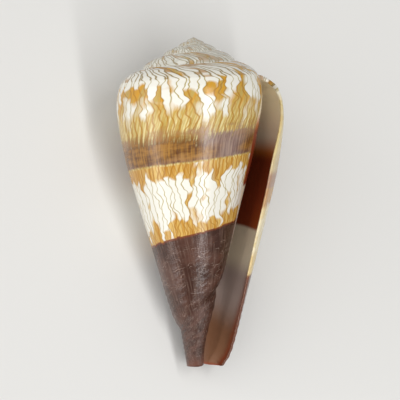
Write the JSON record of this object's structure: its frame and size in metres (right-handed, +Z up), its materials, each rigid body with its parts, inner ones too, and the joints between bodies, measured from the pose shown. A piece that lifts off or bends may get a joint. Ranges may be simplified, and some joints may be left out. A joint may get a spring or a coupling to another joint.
{
  "type": "cone shell",
  "caption": "Cone shaped sea snail shell with a low spire, a long narrow aperture and a thin outer lip, lying on its side with the aperture up.",
  "frame": {"origin": "centre of the shell's box, at the surface it lies on", "axes": "+Z up; the shell's axis runs along Y with the apex towards +Y and a little raised; the aperture faces up"},
  "size_m": [0.035, 0.069, 0.0323],
  "materials": {
    "shell": "glossy, cream with brown lines and bands"
  },
  "bodies": {
    "root": {"shell": "shell"}
  },
  "joints": []
}
